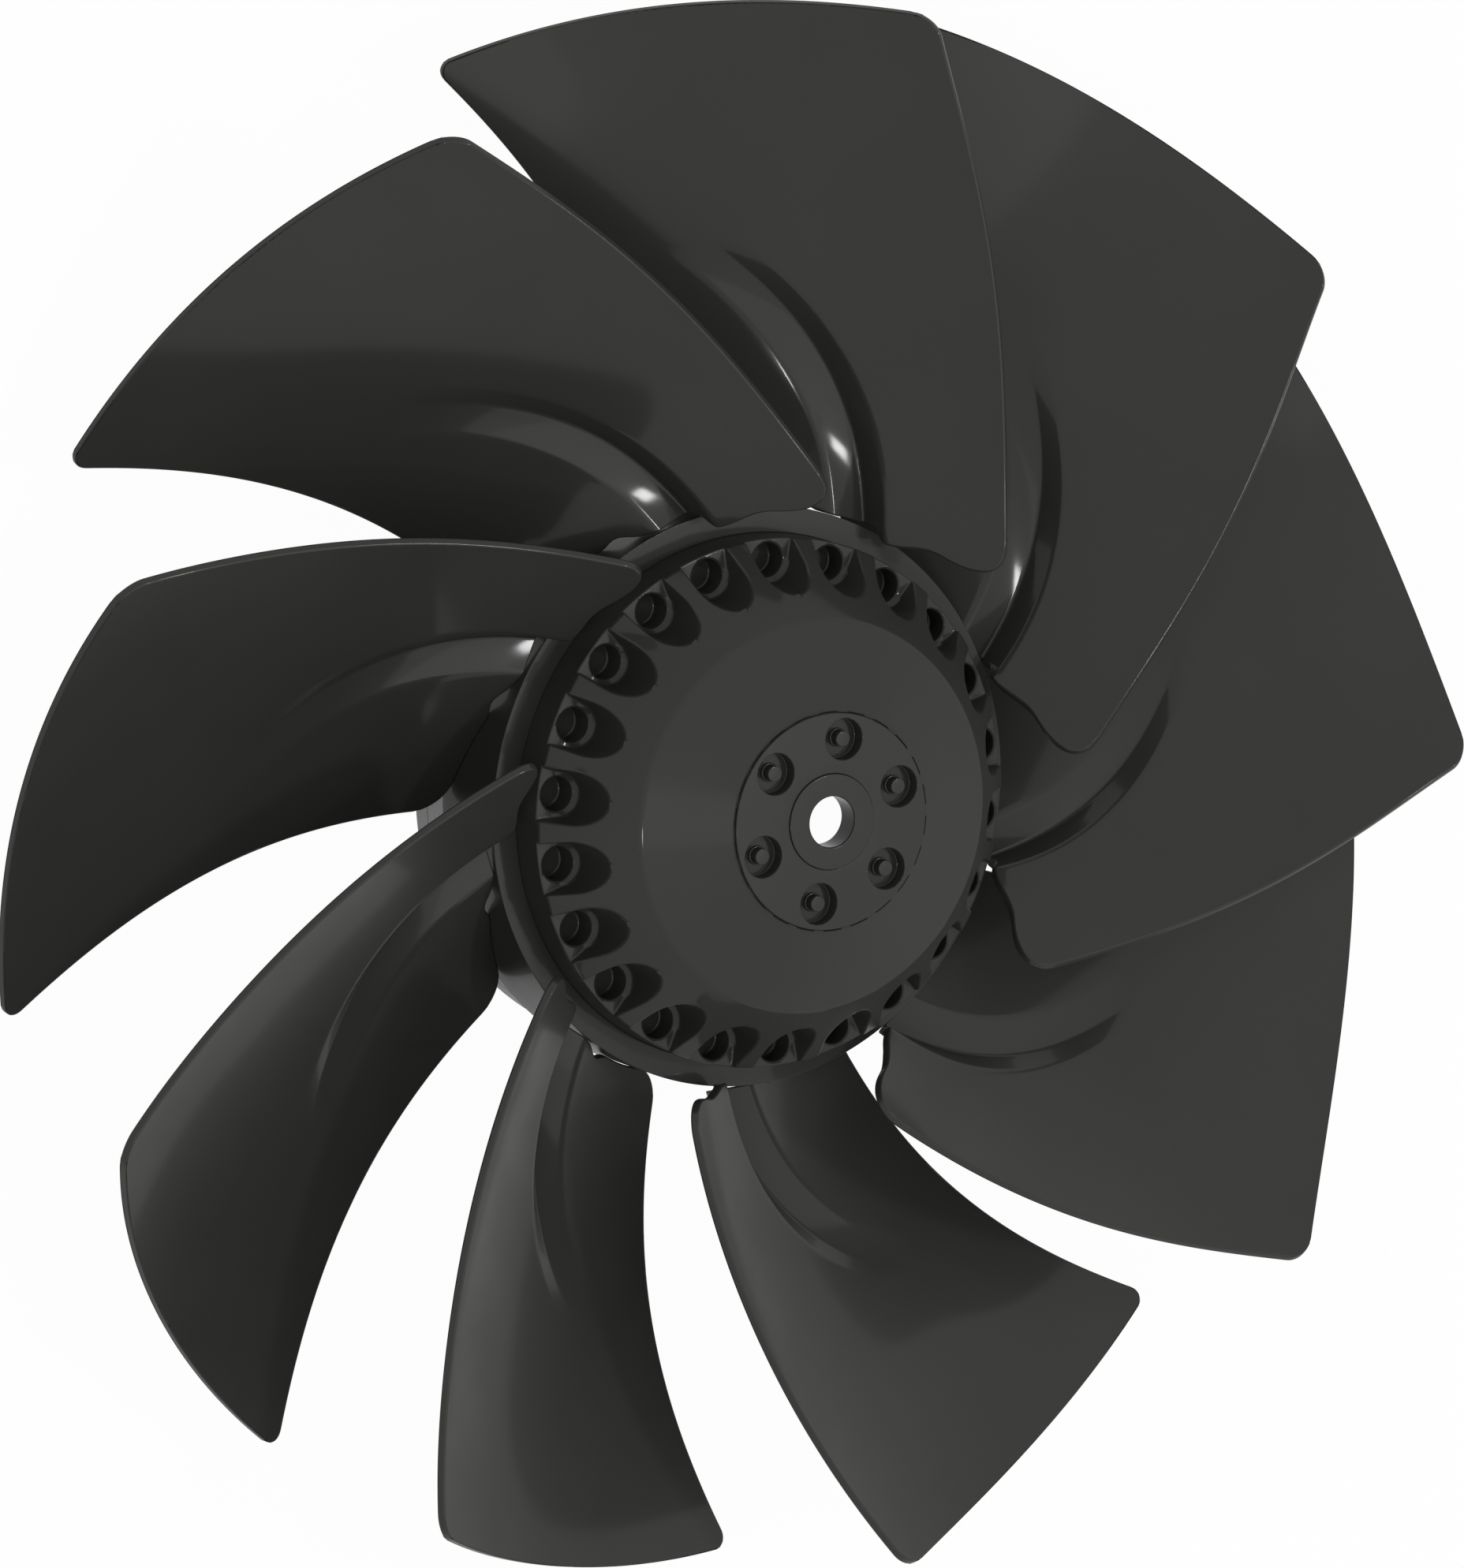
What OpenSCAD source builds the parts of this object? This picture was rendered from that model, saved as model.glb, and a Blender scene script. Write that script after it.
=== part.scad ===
// Axial fan impeller: nine pressed sickle blades welded to a ring on a bell-shaped rotor.
// It lies on the rear face of its collar, front of the hub up, with the shaft axis on Z.

/* [Blades] */
// Number of blades, spaced evenly round the ring
blade_count = 9; // [5:1:11]
// Diameter across the blade tips
tip_d = 500; // [440:1:560]
// Thickness of the blade sheet
sheet_t = 2.5; // [1.5:0.1:4]
// Width of a blade along the arc at its root
blade_root_w = 95.4; // [80:0.1:105]
// Width of a blade along the arc at its tip
blade_tip_w = 145.2; // [110:0.1:165]
// Height of the front edge above the rear edge
blade_depth = 64.6; // [50:0.1:72]
// Angle of the first blade's rear edge at the ring
first_blade_angle = 102; // [0:1:360]
// Angle by which the rear edge is swept back between ring and tip
rear_sweep = 12.4; // [6:0.1:20]
// Hollow of the sheet at the ring
camber_root = 6.4; // [2:0.1:9]
// Hollow of the sheet at the tip
camber_tip = 9.1; // [3:0.1:14]
// Radius of the two tip corners
tip_corner_r = 6.5; // [2:0.1:15]
// Radius of the rear corner beside the ring
rear_corner_r = 12; // [4:0.1:16]
// Radial size of the round front corner beside the hub
front_corner_r = 13; // [4:0.1:16]
// Length of the round front corner along the inner edge
front_corner_len = 20; // [8:0.1:22]

/* [Root bead] */
// Depth of the bead where it meets the ring: it is pressed in from the front
bead_h = 8.8; // [2:0.1:9]
// Width of the bead along the arc
bead_w = 13.6; // [8:0.1:16]
// Length of the bead outwards from the ring
bead_len = 82; // [50:1:120]

/* [Blade ring] */
// Wall of the ring
ring_wall = 8; // [4:0.1:12]
// Length of the ring along the axis
ring_len = 31.6; // [24:0.1:36]
// Broken edge round the ring's two outer rims
ring_chamfer = 0.6; // [0.3:0.1:1.5]

/* [Rotor] */
// Outer diameter of the rotor's wall
rotor_d = 167.5; // [160:0.5:180]
// Distance from the rear collar to the ring's seat
rear_band = 9.4; // [6:0.1:12]
// Height of the rear shoulder over the rotor's wall
shoulder_step = 3.75; // [2:0.05:6]
// Distance from the ring's front face to the floor of the pockets
wall_reach = 12.5; // [8:0.1:20]
// Height of the ribs between the pockets at the rim
rib_rise = 1.35; // [0.8:0.05:3]
// Diameter of the edge between the flank and the dome
dome_d = 123.2; // [112:0.1:128]
// Height of the dome's edge above the rim
flank_rise = 25; // [18:0.1:32]
// Height of the dome between its edge and the disc
dome_rise = 10.3; // [5:0.1:14]
// Radius of the rounding on the dome's edge
dome_fillet = 3; // [1:0.1:5]
// Wall of the rotor's open rear end
rear_wall = 8.5; // [6:0.1:9]
// Wall between the pockets and the hollow
pocket_wall = 3.2; // [2:0.1:5]
// Wall of the dome and of the flank
shell_wall = 6.5; // [4:0.1:8]
// Wall that the disc is riveted to
web_t = 5; // [3:0.1:6]

/* [Pockets] */
// Number of balancing pockets
pocket_count = 22; // [16:1:24]
// Angle of the first pocket
first_pocket_angle = 11.2; // [0:0.1:22]
// Radius of the circle through the pocket holes
pocket_circle_r = 77; // [76:0.1:77.4]
// Half the width of a pocket
pocket_r = 8.35; // [6.8:0.05:8.6]
// Radius of the blind hole in a pocket
hole_r = 5.3; // [3:0.1:5.6]
// Depth of the blind hole
hole_depth = 8; // [3:0.1:9]
// Rise of the cone between the hole and the pocket's inner wall
cone_rise = 1.1; // [0.5:0.1:3]

/* [Drive flange] */
// Diameter of the disc
flange_d = 68; // [66:0.5:72]
// Thickness of the disc
flange_t = 6; // [5.6:0.1:8]
// Height of the disc's face over the dome
flange_proud = 0.6; // [0.2:0.1:2]
// Diameter of the circle through the rivets
rivet_circle_d = 51.8; // [49:0.1:52.4]
// Number of rivets
rivet_count = 6; // [3:1:8]
// Angle of the first rivet
first_rivet_angle = 22.2; // [0:0.1:60]
// Radius of the counterbores at their rim
counterbore_rim_r = 7.2; // [6.7:0.1:7.8]
// Radius of the counterbores
counterbore_r = 6.6; // [5:0.1:6.6]
// Depth of the counterbores
counterbore_depth = 4.5; // [3:0.1:4.8]

/* [Rivets] */
// Radius of the rivet's shank
shank_r = 2.3; // [1.5:0.1:3]
// Radius of the closed end's foot
post_foot_r = 3; // [2.9:0.1:4]
// Radius of the closed end
post_r = 2.5; // [2.3:0.1:2.8]
// Distance from the closed end to the disc's face
post_drop = 0.5; // [0:0.1:1.5]
// Radius of the rivet's head inside the rotor
rivet_head_r = 4.6; // [4:0.1:5.2]
// Thickness of the rivet's head
rivet_head_t = 2; // [1:0.1:3]

/* [Shaft bush] */
// Diameter of the bore for the shaft
bore_d = 16; // [10:0.1:18]
// Outer diameter of the bush's tube
bush_d = 24; // [20:0.1:26]
// Diameter of the bush's flange
bush_flange_d = 30; // [28:0.1:32]
// Thickness of the bush's flange
bush_flange_t = 2; // [1:0.1:3]
// Height of the bush's flange over the disc
bush_proud = 0.5; // [0:0.1:1]
// Chamfer at the mouth of the bore
bore_chamfer = 0.4; // [0.2:0.1:1]

/* [Rear collar] */
// Length of the collar
collar_len = 18.2; // [12:0.1:24]
// Length of the spigot that centres the collar on the rotor
spigot_len = 5; // [3:0.1:8]
// Wall of the spigot
spigot_wall = 3; // [2:0.1:4]
// Distance from the collar's rear face to its groove
groove_z = 7.6; // [4:0.1:9]
// Width and depth of the groove
groove_w = 0.5; // [0.3:0.1:1]

/* [Fits] */
// Gap at curved seats, where one piece is pressed or welded on another
seat_gap = 0.3; // [0.2:0.05:0.5]

/* [Hidden] */
$fn = 96;
// Amount by which a cut runs past the face that it opens
cut_over = 1;

// Radii and heights along the axis, from the rear face upwards
tip_r = tip_d / 2;
rotor_r = rotor_d / 2;
ring_r = rotor_r + ring_wall;
shoulder_r = rotor_r + shoulder_step;
cavity_r = shoulder_r - rear_wall;
ring_seat_z = collar_len + rear_band;
lip_z = ring_seat_z + ring_len;
pocket_floor_z = lip_z + wall_reach;
rim_z = pocket_floor_z + rib_rise;
dome_edge_z = rim_z + flank_rise;
dome_top_z = dome_edge_z + dome_rise;
flange_face_z = dome_top_z + flange_proud;
flange_seat_z = flange_face_z - flange_t;
bush_face_z = flange_face_z + bush_proud;
dome_r = dome_d / 2;
flange_r = flange_d / 2;

// Hollow inside the rotor: its corner lies one wall below both the dome and the flank
ceiling_z = flange_seat_z - web_t;
hub_hole_r = bush_flange_d / 2 + 2;
upper_cavity_r = pocket_circle_r - pocket_r - pocket_wall;
hole_floor_z = pocket_floor_z - hole_depth;
cavity_step_z = hole_floor_z - web_t;
dome_slope = atan2(dome_rise, dome_r - flange_r);
flank_slope = atan2(flank_rise, rotor_r - dome_r);
dome_out = [sin(dome_slope), cos(dome_slope)];
flank_out = [sin(flank_slope), cos(flank_slope)];
inner_corner = [dome_r, dome_edge_z] - shell_wall * (dome_out + flank_out) / (1 + dome_out * flank_out);
ceiling_edge_r = inner_corner[0] - (ceiling_z - inner_corner[1]) / tan(dome_slope);
upper_cavity_z = inner_corner[1] - (upper_cavity_r - inner_corner[0]) * tan(flank_slope);

// Shape of a blade
blade_back_z = ring_seat_z - 0.6;
blade_pitch = 360 / blade_count;
rear_root_slope = -0.2 * rear_sweep;
rear_tip_slope = 1.38 * rear_sweep;
width_power = 1.5;
root_lift = 7.3;
root_lift_power = 7;
front_dip = 1.6;
camber_skew = 0.63;
weld_gap = seat_gap * 1.5;

// Places along the root, as shares of the blade's width from the rear edge
bead_peak_share = 0.5845;
bead_peak_at = 0.08;
bead_bend = 1.5;
bead_spread = 1.06;
bead_valley_root = 0.54;
bead_valley_out = 0.65;
bead_valley_by = 0.8;
bead_wall_share = 0.8;
bead_fade_power = 1.1;
bead_foot_round = 0.12;
bead_valley_round = 0.2;
slit_from = 0.33;
slit_to = 0.46;
slit_h = 2.2;
tuck_from = 0.615;
tuck_to = 0.633;
tuck_in = 2.6;
wave_to = 0.807;
wave_out = 1.8;

// Share of the way from the ring to the tip
function reach(r) = (r - ring_r) / (tip_r - ring_r);
function held(v, low, high) = min(max(v, low), high);
// Smooth step from 0 at a to 1 at b
function ease(a, b, v) = let (t = held((v - a) / (b - a), 0, 1)) t * t * (3 - 2 * t);

// Width of the blade along the arc, and the angle that it spans
function width_at(r) =
    blade_root_w + (blade_tip_w - blade_root_w) * pow(max(reach(r), 0), width_power);
function span_at(r) = width_at(r) / r * 180 / PI;

// Angle of the rear edge: a cubic between a slope at the ring and a slope at the tip
function rear_angle(r) =
    let (x = reach(r), x2 = x * x, x3 = x2 * x)
    first_blade_angle
    + rear_sweep * (3 * x2 - 2 * x3)
    + rear_root_slope * (x - 2 * x2 + x3)
    + rear_tip_slope * (x3 - x2);

// Height of the front edge: lifted at the hub, with a slight dip before the tip
function front_z(r) =
    let (x = held(reach(r), 0, 1))
    blade_back_z + blade_depth
    + root_lift * pow(1 - x, root_lift_power)
    - front_dip * sin(180 * pow(x, 4));

// Hollow of the sheet: a parabola across its width, deepest a little towards the front
function hollow_at(r, s) =
    let (camber = camber_root + (camber_tip - camber_root) * held(reach(r), 0, 1))
    camber * 4 * s * (1 - s) * (1 + camber_skew * (s - 0.5));

// Plain sheet at radius r and share s of the width, counted from the rear edge
function plain_sheet(r, s) =
    let (a = rear_angle(r) - span_at(r) * s)
    let (z = blade_back_z + (front_z(r) - blade_back_z) * s - hollow_at(r, s))
    [r * cos(a), r * sin(a), z];

// Middle line of the bead and its half width, as shares of the blade's width
function bead_middle(r) =
    let (x = held(reach(r), 0, bead_len / (tip_r - ring_r)))
    bead_peak_share - bead_bend * pow(x - bead_peak_at, 2);
function bead_half(r) =
    let (x = held(reach(r), 0, bead_len / (tip_r - ring_r)))
    bead_w / 2 * (1 + bead_spread * x) / blade_root_w;

// Sides of the bead. On the rear face it is wider, so that its steep wall keeps its thickness
function bead_low(r) = bead_middle(r) - bead_half(r);
function bead_high(r, off) =
    bead_middle(r) + bead_half(r) + (off < 0 ? bead_wall_share * sheet_t / blade_root_w : 0);

// Place of the bead's valley, as a share of its width: near the middle at the ring, then
// closer to the front side
function bead_out(r) = held((r - ring_r) / bead_len, 0, 1);
function bead_valley(r) =
    bead_valley_root + (bead_valley_out - bead_valley_root) * ease(0, bead_valley_by, bead_out(r));

// Part of x above 0, with the turn rounded between -w and w
function rounded(x, w) = x <= -w ? 0 : x >= w ? x : (x + w) * (x + w) / (4 * w);

// Depth of the bead: a gentle slope down from its rear side and a steep wall up to its front
// side, with a rounded valley and rounded feet, fading outwards
function bead_depth(r, s, off) =
    let (t = (s - bead_low(r)) / (bead_high(r, off) - bead_low(r)), valley = bead_valley(r))
    let (slope = t / valley, wall = (1 - t) / (1 - valley))
    let (fade = pow(1 - bead_out(r), bead_fade_power))
    bead_h * fade * rounded(slope - rounded(slope - wall, bead_valley_round), bead_foot_round);

// Unit normal of the plain sheet, pointing to the front
function unit(v) = v / norm(v);
function front_normal(r, s) =
    let (step_r = 0.5, step_s = 0.01)
    let (along = plain_sheet(r + step_r, s) - plain_sheet(r - step_r, s))
    let (across = plain_sheet(r, s + step_s) - plain_sheet(r, s - step_s))
    unit(cross(across, along));

// Inner edge of the sheet: round rear corner, weld along the ring with a slit in it, a step
// inwards over the ring's rim at the bead's steep wall, then free and wavy to the front corner
function corner_rise(c, x) = x >= c ? 0 : c - sqrt(c * c - (c - x) * (c - x));
function inner_r(s) =
    let (root_len = norm([blade_root_w, blade_depth]))
    let (slit = s > slit_from && s < slit_to ? sin(180 * (s - slit_from) / (slit_to - slit_from)) : 0)
    ring_r + weld_gap
    + corner_rise(rear_corner_r, s * root_len)
    + corner_rise(front_corner_r, (1 - s) * root_len * front_corner_r / front_corner_len)
    + slit_h * slit * slit
    - tuck_in * ease(tuck_from, tuck_to, s)
    + (tuck_in + wave_out) * ease(tuck_to, wave_to, s);

// Columns of the sheet's grid: 0 is the rear edge, 1 the bead's rear side, 2 its valley, 3 its
// front side and 4 the front edge
COLUMNS = [0, 0.06, 0.14, 0.24, 0.45, 0.68, 0.82, 0.94, 1, 1.1, 1.3, 1.6, 1.88, 2, 2.2, 2.6, 2.9,
           3.03, 3.3, 3.55, 3.72, 3.84, 3.94, 4];
function column_share(v, r, off) =
    let (low = bead_low(r), high = bead_high(r, off), deep = low + bead_valley(r) * (high - low))
    v <= 1 ? v * low
    : v <= 2 ? low + (v - 1) * (deep - low)
    : v <= 3 ? deep + (v - 2) * (high - deep)
    : high + (v - 3) * (1 - high);

// Rows of the grid: 0 is the inner edge, 1 the tip, with the last ones round the tip corners
tip_share = tip_corner_r / (tip_r - ring_r);
ROWS = concat([0, 0.06, 0.13, 0.21, 0.3, 0.4, 0.52, 0.67, 0.83],
              [for (a = [0:30:90]) 1 - tip_share * (1 - sin(a))]);

// Point of the grid, moved off the sheet's middle by the given distance
function grid_point(u, v, off) =
    let (edge_r = inner_r(column_share(v, ring_r, sheet_t)))
    let (r = edge_r + (tip_r - edge_r) * u)
    let (inset = corner_rise(tip_corner_r, (1 - u) * (tip_r - ring_r)) / width_at(r))
    let (s = inset + column_share(v, r, off) * (1 - 2 * inset))
    plain_sheet(r, s) + front_normal(r, s) * (off - bead_depth(r, s, off));

module blade_sheet() {
    cols = len(COLUMNS);
    rows = len(ROWS);
    layer = cols * rows;
    points = [for (off = [sheet_t / 2, -sheet_t / 2], u = ROWS, v = COLUMNS) grid_point(u, v, off)];
    front = [for (i = [0:rows - 2], j = [0:cols - 2])
        let (a = i * cols + j, b = a + 1, c = a + cols, d = c + 1)
        each [[a, b, d], [a, d, c]]];
    back = [for (f = front) [f[2] + layer, f[1] + layer, f[0] + layer]];
    rim = concat(
        [for (j = [0:cols - 2]) [j, j + 1]],
        [for (i = [0:rows - 2]) [i * cols + cols - 1, (i + 1) * cols + cols - 1]],
        [for (j = [cols - 1:-1:1]) [(rows - 1) * cols + j, (rows - 1) * cols + j - 1]],
        [for (i = [rows - 1:-1:1]) [i * cols, (i - 1) * cols]]
    );
    edge = [for (e = rim) each [[e[1], e[0], e[0] + layer], [e[1], e[0] + layer, e[1] + layer]]];
    polyhedron(points, concat(front, back, edge));
}

module blade(i) {
    color("dimgray") rotate([0, 0, -blade_pitch * (i - 1)]) blade_sheet();
}

// Copies placed evenly on a circle
module round_pattern(count, r, first) {
    for (i = [0:count - 1]) {
        rotate([0, 0, first + i * 360 / count]) translate([r, 0, 0]) children();
    }
}

// Dome's edge rounded by an arc tangent to the dome and to the flank
turn = flank_slope - dome_slope;
fillet_back = dome_fillet * tan(turn / 2);
fillet_start = [dome_r - fillet_back * cos(dome_slope), dome_edge_z + fillet_back * sin(dome_slope)];
fillet_middle = fillet_start - dome_fillet * [sin(dome_slope), cos(dome_slope)];
dome_arc = [for (k = [0:6])
    let (a = 90 - dome_slope - turn * k / 6)
    fillet_middle + dome_fillet * [cos(a), sin(a)]];

module rotor_bell() {
    rotate_extrude() polygon(concat(
        [[hub_hole_r, ceiling_z], [hub_hole_r, flange_seat_z], [flange_r + seat_gap, flange_seat_z],
         [flange_r + seat_gap, dome_top_z]],
        dome_arc,
        [[rotor_r, rim_z], [rotor_r, ring_seat_z], [shoulder_r, ring_seat_z],
         [shoulder_r, collar_len], [cavity_r + spigot_wall, collar_len],
         [cavity_r + spigot_wall, collar_len - spigot_len], [cavity_r, collar_len - spigot_len],
         [cavity_r, cavity_step_z], [upper_cavity_r, cavity_step_z],
         [upper_cavity_r, upper_cavity_z], inner_corner, [ceiling_edge_r, ceiling_z]]
    ));
}

// Pocket open to the rim, with a cone round the inner half of its blind hole
module pocket() {
    top_z = dome_edge_z;
    translate([0, 0, hole_floor_z]) cylinder(h = hole_depth + cut_over, r = hole_r);
    translate([0, 0, pocket_floor_z]) cylinder(h = cone_rise, r1 = hole_r + 0.8, r2 = pocket_r);
    translate([0, 0, pocket_floor_z + cone_rise]) cylinder(h = top_z - pocket_floor_z, r = pocket_r);
    translate([0, -pocket_r, pocket_floor_z]) cube([pocket_r * 2, pocket_r * 2, top_z - pocket_floor_z]);
}

module rotor() {
    color("dimgray") difference() {
        rotor_bell();
        round_pattern(pocket_count, pocket_circle_r, first_pocket_angle) pocket();
        round_pattern(rivet_count, rivet_circle_d / 2, first_rivet_angle)
            translate([0, 0, ceiling_z - cut_over])
            cylinder(h = web_t + 2 * cut_over, r = shank_r + seat_gap);
    }
}

module drive_flange() {
    rim_h = counterbore_rim_r - counterbore_r;
    color("dimgray") difference() {
        translate([0, 0, flange_seat_z]) cylinder(h = flange_t, r = flange_r);
        translate([0, 0, flange_seat_z - cut_over])
            cylinder(h = flange_t + 2 * cut_over, r = bush_d / 2 + seat_gap);
        translate([0, 0, bush_face_z - bush_flange_t])
            cylinder(h = bush_flange_t + cut_over, r = bush_flange_d / 2 + seat_gap);
        round_pattern(rivet_count, rivet_circle_d / 2, first_rivet_angle) {
            translate([0, 0, flange_seat_z - cut_over])
                cylinder(h = flange_t, r = shank_r + seat_gap);
            translate([0, 0, flange_face_z - counterbore_depth])
                cylinder(h = counterbore_depth + cut_over, r = counterbore_r);
            translate([0, 0, flange_face_z - rim_h])
                cylinder(h = rim_h, r1 = counterbore_r, r2 = counterbore_rim_r);
        }
    }
}

module shaft_bush() {
    bore_r = bore_d / 2;
    color("silver") rotate_extrude() polygon([
        [bore_r, flange_seat_z], [bush_d / 2, flange_seat_z],
        [bush_d / 2, bush_face_z - bush_flange_t], [bush_flange_d / 2, bush_face_z - bush_flange_t],
        [bush_flange_d / 2, bush_face_z], [bore_r + bore_chamfer, bush_face_z],
        [bore_r, bush_face_z - bore_chamfer]
    ]);
}

// Rivet with its head under the rotor's front wall and its closed end in the counterbore
module rivet() {
    floor_z = flange_face_z - counterbore_depth;
    foot_h = 0.8;
    translate([0, 0, ceiling_z - rivet_head_t]) cylinder(h = rivet_head_t, r = rivet_head_r);
    translate([0, 0, ceiling_z]) cylinder(h = floor_z - ceiling_z, r = shank_r);
    translate([0, 0, floor_z]) cylinder(h = foot_h, r = post_foot_r);
    translate([0, 0, floor_z + foot_h])
        cylinder(h = counterbore_depth - foot_h - post_drop, r = post_r);
}

module flange_rivets() {
    color("gray") round_pattern(rivet_count, rivet_circle_d / 2, first_rivet_angle) rivet();
}

module blade_ring() {
    inner = rotor_r + seat_gap;
    color("dimgray") rotate_extrude() polygon([
        [inner, ring_seat_z], [ring_r - ring_chamfer, ring_seat_z], [ring_r, ring_seat_z + ring_chamfer],
        [ring_r, lip_z - ring_chamfer], [ring_r - ring_chamfer, lip_z], [inner, lip_z]
    ]);
}

module rear_collar() {
    recess_r = cavity_r + spigot_wall + seat_gap;
    color("lightgray") rotate_extrude() polygon([
        [cavity_r, 0], [shoulder_r, 0],
        [shoulder_r, groove_z], [shoulder_r - groove_w, groove_z],
        [shoulder_r - groove_w, groove_z + groove_w], [shoulder_r, groove_z + groove_w],
        [shoulder_r, collar_len], [recess_r, collar_len],
        [recess_r, collar_len - spigot_len], [cavity_r, collar_len - spigot_len]
    ]);
}

rotor();
drive_flange();
shaft_bush();
flange_rivets();
blade_ring();
rear_collar();
for (i = [1:blade_count]) blade(i);
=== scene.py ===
# %% [markdown]
# An axial fan impeller: nine sickle blades of pressed sheet on a ring, round the bell-shaped
# rotor of an external-rotor motor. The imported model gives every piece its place. This script
# gives the pieces their finish: sheet with rounded edges, castings with soft corners and a
# satin black coat that is never quite even.

# %% Load the frame
import math

import bmesh
import bpy
import numpy as np
from mathutils import Matrix, Vector


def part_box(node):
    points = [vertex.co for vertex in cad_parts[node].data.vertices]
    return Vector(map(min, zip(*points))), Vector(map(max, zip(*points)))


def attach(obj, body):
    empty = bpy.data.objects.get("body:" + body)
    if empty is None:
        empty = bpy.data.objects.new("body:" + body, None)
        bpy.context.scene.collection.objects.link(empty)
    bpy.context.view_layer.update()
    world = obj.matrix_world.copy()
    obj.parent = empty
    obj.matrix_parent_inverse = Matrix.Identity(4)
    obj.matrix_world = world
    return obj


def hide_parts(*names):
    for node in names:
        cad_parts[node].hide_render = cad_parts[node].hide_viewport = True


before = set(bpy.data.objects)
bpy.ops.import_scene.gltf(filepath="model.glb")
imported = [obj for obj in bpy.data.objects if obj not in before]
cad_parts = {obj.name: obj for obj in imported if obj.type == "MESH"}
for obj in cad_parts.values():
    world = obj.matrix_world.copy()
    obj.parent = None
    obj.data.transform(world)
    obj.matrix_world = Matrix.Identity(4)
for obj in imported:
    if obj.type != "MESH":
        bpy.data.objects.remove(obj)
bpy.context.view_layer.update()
print("pieces in the frame:", len(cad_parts))

# %% [markdown]
# Most sizes can be read from the frame, as the boxes of its nodes. Only what a box can't tell,
# such as the curve of a blade, is written here, in metres, as the model has it.

# %% Sizes read from the frame
MM = 0.001


def half_width(node):
    """Radius of a round node that is centred on the shaft."""
    low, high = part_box(node)
    return (high.x - low.x) / 2


def bottom(node):
    """Height of a node's lowest point."""
    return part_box(node)[0].z


def top(node):
    """Height of a node's highest point."""
    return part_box(node)[1].z


BLADES = [n for n in sorted(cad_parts) if n.startswith("blade_") and n != "blade_ring"]
BLADE_COUNT = len(BLADES)
ring_r = half_width("blade_ring")
ring_seat_z = bottom("blade_ring")
lip_z = top("blade_ring")
tip_r = 250 * MM
rotor_r = 83.75 * MM
print(f"{BLADE_COUNT} blades, ring radius {ring_r / MM:.2f} mm, lip at {lip_z / MM:.2f} mm")

# %% [markdown]
# A blade is one sheet, pressed to a hollow form, with a bead at its root that stiffens it.
# It could be sculpted, but its form follows a few rules: a width at each radius, a swept
# rear edge, a front edge at nearly constant height and a hollow across the width. So it is
# a surface of two parameters: the radius r and the share s of the width, from the rear edge
# (0) to the front edge (1).

# %% The sheet as a surface
SHEET_T = 2.5 * MM
ROOT_W = 95.4 * MM
TIP_W = 145.2 * MM
WIDTH_POWER = 1.5
BLADE_DEPTH = 64.6 * MM
FIRST_ANGLE = 102.0
REAR_SWEEP = 12.4
ROOT_SLOPE = -0.2 * REAR_SWEEP
TIP_SLOPE = 1.38 * REAR_SWEEP
BLADE_BACK_Z = ring_seat_z - 0.6 * MM
ROOT_LIFT = 7.3 * MM
ROOT_LIFT_POWER = 7
FRONT_DIP = 1.6 * MM
CAMBER_ROOT = 6.4 * MM
CAMBER_TIP = 9.1 * MM
CAMBER_SKEW = 0.63


def held(v, low, high):
    """v kept between low and high."""
    return np.minimum(np.maximum(v, low), high)


def ease(a, b, v):
    """Smooth step, 3t^2 - 2t^3, from 0 at a to 1 at b."""
    t = held((v - a) / (b - a), 0, 1)
    return t * t * (3 - 2 * t)


def reach(r):
    """Share of the way from the ring to the tip."""
    return (r - ring_r) / (tip_r - ring_r)


def width_at(r):
    """Width along the arc: root width plus a share that grows as reach to the power 1.5."""
    return ROOT_W + (TIP_W - ROOT_W) * np.maximum(reach(r), 0) ** WIDTH_POWER


def rear_angle(r):
    """Angle of the rear edge in degrees: a cubic with a slope of its own at ring and tip."""
    x = reach(r)
    return (FIRST_ANGLE + REAR_SWEEP * (3 * x**2 - 2 * x**3)
            + ROOT_SLOPE * (x - 2 * x**2 + x**3) + TIP_SLOPE * (x**3 - x**2))


def front_z(r):
    """Height of the front edge: level, lifted at the hub, with a slight dip before the tip."""
    x = held(reach(r), 0, 1)
    return (BLADE_BACK_Z + BLADE_DEPTH + ROOT_LIFT * (1 - x) ** ROOT_LIFT_POWER
            - FRONT_DIP * np.sin(np.pi * x**4))


def hollow_at(r, s):
    """Depth of the hollow: a parabola across the width, deepest a little to the front."""
    camber = CAMBER_ROOT + (CAMBER_TIP - CAMBER_ROOT) * held(reach(r), 0, 1)
    return camber * 4 * s * (1 - s) * (1 + CAMBER_SKEW * (s - 0.5))


def plain_sheet(r, s):
    """Point of the plain sheet: an angle and a height at each radius, as x, y and z."""
    a = np.radians(rear_angle(r)) - width_at(r) / r * s
    z = BLADE_BACK_Z + (front_z(r) - BLADE_BACK_Z) * s - hollow_at(r, s)
    return np.stack([r * np.cos(a), r * np.sin(a), z], -1)


def front_normal(r, s):
    """Unit normal to the front: the cross product of small steps along and across."""
    along = plain_sheet(r + 0.5 * MM, s) - plain_sheet(r - 0.5 * MM, s)
    across = plain_sheet(r, s + 0.01) - plain_sheet(r, s - 0.01)
    n = np.cross(across, along)
    return n / np.linalg.norm(n, axis=-1, keepdims=True)


print(f"a blade is {ROOT_W / MM:.1f} mm wide at the ring, {TIP_W / MM:.1f} mm at the tip")

# %% [markdown]
# The bead is pressed in from the front, gently at its rear side and steeply at its front side,
# and fades outwards. The inner edge is welded to the ring at the rear, with a short slit in
# the weld. At the bead's steep wall it steps inwards over the ring's rim, and from there it
# runs free, in a wave, to the front corner.

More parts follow.
